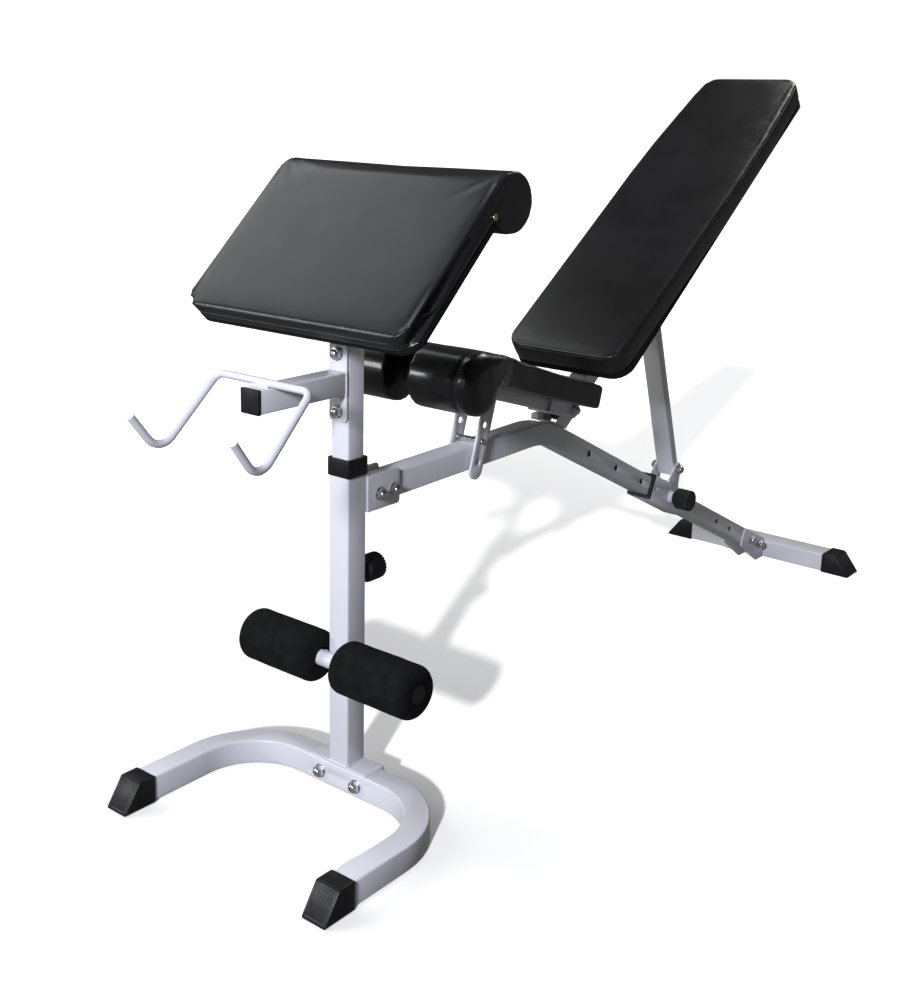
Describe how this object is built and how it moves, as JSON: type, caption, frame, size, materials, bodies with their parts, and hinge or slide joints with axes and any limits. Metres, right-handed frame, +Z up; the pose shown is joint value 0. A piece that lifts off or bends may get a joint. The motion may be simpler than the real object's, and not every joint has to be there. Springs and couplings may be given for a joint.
{
  "type": "adjustable weight bench",
  "caption": "Weight bench with a strut-propped reclining backrest, tilting seat, preacher pad on a telescoping post with barbell hooks, and foam leg rollers.",
  "frame": {"origin": "on the floor, under the middle of the bench's length and width", "axes": "+X across the bench to the side with the pull knobs' and bolts' nuts, +Y along the bench from the preacher pad to the rear foot, +Z up"},
  "size_m": [0.4726, 1.8305, 1.1244],
  "materials": {
    "white_paint": "silver-white powder coat, satin",
    "black_vinyl": "black upholstery vinyl over foam, fine grain, satin",
    "black_foam": "matte black closed-cell foam",
    "black_plastic": "moulded black plastic, fine texture",
    "zinc_steel": "bright zinc plating",
    "black_board": "plywood under a black backing cloth"
  },
  "bodies": {
    "frame": {"front_base": "white_paint", "front_cap_left": "black_plastic", "front_cap_right": "black_plastic", "base_nut_left": "zinc_steel", "base_nut_right": "zinc_steel", "post_saddle": "white_paint", "outer_post": "white_paint", "post_collar": "black_plastic", "height_boss": "white_paint", "roller_axle": "white_paint", "roller_plug_left": "black_plastic", "roller_plug_right": "black_plastic", "main_beam": "white_paint", "post_bracket": "white_paint", "bracket_nut_1": "zinc_steel", "bracket_nut_2": "zinc_steel", "peak_bracket": "white_paint", "seat_stop": "white_paint", "rear_foot": "white_paint", "rear_cap_left": "black_plastic", "rear_cap_right": "black_plastic", "rear_bracket": "white_paint", "rear_nut_1": "zinc_steel", "rear_nut_2": "zinc_steel"},
    "lift": {"inner_post": "white_paint", "arm_plate": "white_paint", "barbell_arm": "white_paint", "arm_plug": "black_plastic", "arm_bolt_upper": "zinc_steel", "arm_bolt_lower": "zinc_steel", "hook_rod": "white_paint", "curl_bracket": "white_paint", "curl_board": "black_board", "curl_pad": "black_vinyl"},
    "height_knob": {"height_knob": "black_plastic"},
    "roller_left": {"foam_roller_left": "black_foam"},
    "roller_right": {"foam_roller_right": "black_foam"},
    "seat": {"seat_tube": "white_paint", "seat_fork": "white_paint", "adjuster_bracket": "white_paint", "seat_board": "black_board", "seat_pad": "black_vinyl", "seat_roll_left": "black_vinyl", "seat_roll_right": "black_vinyl", "pivot_bolt": "zinc_steel"},
    "seat_pin": {"seat_pin": "zinc_steel"},
    "backrest": {"back_tube": "white_paint", "back_plug": "black_plastic", "back_cross_low": "white_paint", "back_cross_high": "white_paint", "back_board": "black_board", "back_pad": "black_vinyl", "strut_channel": "white_paint"},
    "sleeve": {"sleeve": "white_paint", "sleeve_liner": "black_plastic", "sleeve_ears": "white_paint", "sleeve_boss": "white_paint"},
    "sleeve_knob": {"sleeve_knob": "black_plastic"},
    "strut": {"strut": "white_paint", "strut_bolt": "zinc_steel"}
  },
  "joints": [
    {"name": "post_height", "type": "slide", "parent": "frame", "child": "lift", "axis": [0, 0, 1], "range_m": [-0.05, 0.15]},
    {"name": "height_knob_pull", "type": "slide", "parent": "frame", "child": "height_knob", "axis": [0, 1, 0], "range_m": [0, 0.01], "stiffness_N_per_m": 400},
    {"name": "roller_left_spin", "type": "hinge", "parent": "frame", "child": "roller_left", "pos_m": [0, -0.6258, 0.2245], "axis": [1, 0, 0], "continuous": true},
    {"name": "roller_right_spin", "type": "hinge", "parent": "frame", "child": "roller_right", "pos_m": [0, -0.6258, 0.2245], "axis": [1, 0, 0], "continuous": true},
    {"name": "seat_tilt", "type": "hinge", "parent": "frame", "child": "seat", "pos_m": [0, -0.01693, 0.51948], "axis": [1, 0, 0], "range_deg": [-7, 0]},
    {"name": "seat_pin_pull", "type": "slide", "parent": "seat", "child": "seat_pin", "axis": [-1, 0, 0], "range_m": [0, 0.08]},
    {"name": "backrest_recline", "type": "hinge", "parent": "frame", "child": "backrest", "pos_m": [0, -0.01693, 0.51948], "axis": [1, 0, 0], "range_deg": [-30, 30]},
    {"name": "sleeve_travel", "type": "slide", "parent": "frame", "child": "sleeve", "axis": [0, 0.8974, -0.4412], "range_m": [-0.245, 0.245]},
    {"name": "sleeve_knob_pull", "type": "slide", "parent": "sleeve", "child": "sleeve_knob", "axis": [1, 0, 0], "range_m": [0, 0.01], "stiffness_N_per_m": 400},
    {"name": "strut_swing", "type": "hinge", "parent": "sleeve", "child": "strut", "pos_m": [0, 0.395, 0.31997], "axis": [1, 0, 0], "range_deg": [-17, 17]}
  ],
  "couplings": [
    {"joint": "sleeve_travel", "follows": "backrest_recline", "m_per_rad": -0.46},
    {"joint": "strut_swing", "follows": "backrest_recline", "ratio": -0.54}
  ]
}
